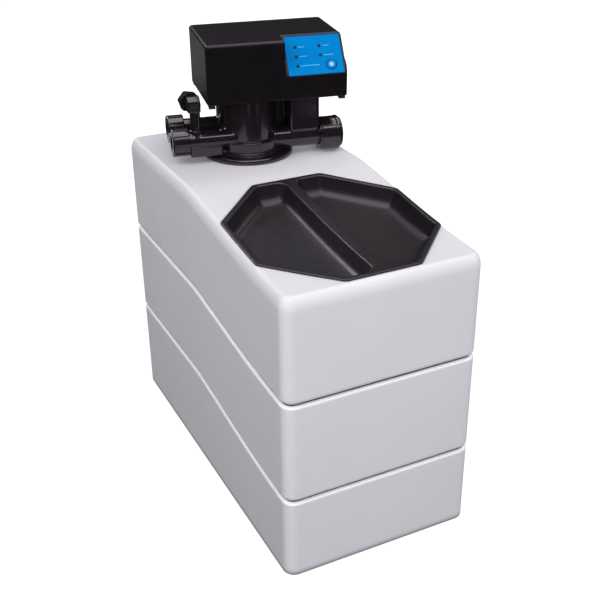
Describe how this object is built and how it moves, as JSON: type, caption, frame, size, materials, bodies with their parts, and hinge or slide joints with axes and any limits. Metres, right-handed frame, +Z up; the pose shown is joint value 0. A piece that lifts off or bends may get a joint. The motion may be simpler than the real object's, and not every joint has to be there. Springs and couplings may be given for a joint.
{
  "type": "water softener",
  "caption": "Compact cabinet water softener: white brine cabinet with a wave-shaped top, black octagonal tray lid, and a black control valve with slanted blue keypad on the resin vessel's neck.",
  "frame": {"origin": "middle of the cabinet's underside, on the floor", "axes": "+X to the right seen from the front, +Y to the back where the valve is, +Z up"},
  "size_m": [0.2307, 0.481, 0.4956],
  "materials": {
    "cabinet_white": "satin moulded polyethylene",
    "lid_black": "satin moulded plastic",
    "valve_black": "glossy moulded glass-filled plastic",
    "cover_black": "fine-grained satin plastic",
    "keypad_blue": "glossy printed film",
    "button_blue": "glossy",
    "led_lens": "clear dark lens",
    "natural_plastic": "natural moulded plastic",
    "vessel_shell": "wound glass fibre",
    "white_plastic": "white moulded plastic",
    "rubber": "matt",
    "steel": "bright",
    "board_green": "printed circuit board"
  },
  "bodies": {
    "cabinet": {"brine_tank": "cabinet_white", "hood": "cabinet_white", "valve_body": "valve_black", "front_port_nut": "valve_black", "back_port_nut": "valve_black", "port_washers": "rubber", "meter_cap": "valve_black", "cap_o_ring": "rubber", "meter_cage": "natural_plastic", "injector_nozzle": "natural_plastic", "injector_cap": "valve_black", "drain_spigot": "valve_black", "seal_spacers": "natural_plastic", "piston_seals": "rubber", "end_plug": "valve_black", "rod_seal": "rubber", "controller_base": "cover_black", "controller_cover": "cover_black", "keypad_overlay": "keypad_blue", "status_leds": "led_lens", "circuit_board": "board_green", "push_switch": "cover_black", "power_socket": "cover_black", "motor": "steel", "drive_bracket": "steel", "bracket_screws": "steel", "resin_vessel": "vessel_shell", "vessel_foot": "lid_black", "riser_tube": "natural_plastic", "bottom_strainer": "natural_plastic", "top_strainer": "natural_plastic", "neck_o_ring": "rubber", "brine_well": "natural_plastic", "brine_well_cap": "natural_plastic", "safety_valve": "white_plastic", "pickup_tube": "natural_plastic", "air_check_cage": "white_plastic", "salt_platform": "natural_plastic", "overflow_spigot": "lid_black", "overflow_nut": "lid_black"},
    "lid": {"salt_lid": "lid_black"},
    "button": {"push_button": "button_blue"},
    "elbow": {"brine_elbow": "valve_black", "brine_elbow_nut": "valve_black"},
    "gear": {"drive_gear": "white_plastic"},
    "pinion": {"motor_pinion": "steel"},
    "piston_unit": {"piston": "valve_black", "piston_rod": "steel"},
    "rotor": {"meter_rotor": "white_plastic"},
    "float_unit": {"float": "white_plastic", "float_rod": "steel"},
    "check_ball": {"air_check_ball": "rubber"}
  },
  "joints": [
    {"name": "lid_lift", "type": "slide", "parent": "cabinet", "child": "lid", "axis": [0, 0, 1], "range_m": [0, 0.25]},
    {"name": "button_press", "type": "slide", "parent": "cabinet", "child": "button", "axis": [0.1623, 0.7905, -0.5905], "range_m": [0, 0.0008], "stiffness_N_per_m": 600},
    {"name": "elbow_swivel", "type": "hinge", "parent": "cabinet", "child": "elbow", "pos_m": [-0.06749, 0.09946, 0.4218], "axis": [0, 0, 1], "range_deg": [-8, 130]},
    {"name": "gear_turn", "type": "hinge", "parent": "cabinet", "child": "gear", "pos_m": [0, 0.105, 0.444], "axis": [0, 0, 1], "range_deg": [0, 1440]},
    {"name": "pinion_turn", "type": "hinge", "parent": "cabinet", "child": "pinion", "pos_m": [0.03176, 0.10969, 0.444], "axis": [0, 0, 1], "range_deg": [-4325, 5]},
    {"name": "piston_slide", "type": "slide", "parent": "cabinet", "child": "piston_unit", "axis": [0, 0, 1], "range_m": [-0.0001, 0.0241]},
    {"name": "rotor_spin", "type": "hinge", "parent": "cabinet", "child": "rotor", "pos_m": [0.06426, 0.07241, 0.376], "axis": [0.9796, -0.2011, 0], "continuous": true},
    {"name": "float_rise", "type": "slide", "parent": "cabinet", "child": "float_unit", "axis": [0, 0, 1], "range_m": [0, 0.012]},
    {"name": "ball_lift", "type": "slide", "parent": "cabinet", "child": "check_ball", "axis": [0, 0, 1], "range_m": [0, 0.012]}
  ],
  "couplings": [
    {"joint": "pinion_turn", "follows": "gear_turn", "ratio": -3},
    {"joint": "piston_slide", "follows": "gear_turn", "m_per_rad": 0.00095493}
  ]
}
